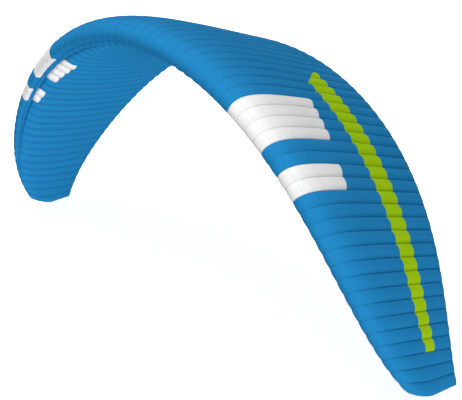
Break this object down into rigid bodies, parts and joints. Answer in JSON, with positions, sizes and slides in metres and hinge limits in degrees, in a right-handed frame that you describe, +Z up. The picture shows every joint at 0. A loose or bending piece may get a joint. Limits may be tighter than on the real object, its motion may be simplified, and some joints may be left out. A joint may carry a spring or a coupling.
{
  "type": "paraglider wing",
  "caption": "Inflated, arched double-skin paraglider wing with a rounded hooked nose, billowed cells and swept, tapered tips, standing on both tips.",
  "frame": {"origin": "on the ground, in the middle of the box that bounds the wing", "axes": "+X along the span to the right tip, -Y towards the nose, +Z up"},
  "size_m": [9.4138, 2.4529, 3.9129],
  "materials": {
    "sail_blue": "coated ripstop cloth, satin",
    "sail_white": "coated ripstop cloth, satin",
    "sail_green": "coated ripstop cloth, satin"
  },
  "bodies": {
    "root": {"upper_skin": "sail_blue", "intake_band": "sail_blue", "lower_skin": "sail_blue", "tip_rib_left": "sail_blue", "tip_rib_right": "sail_blue"}
  },
  "joints": []
}
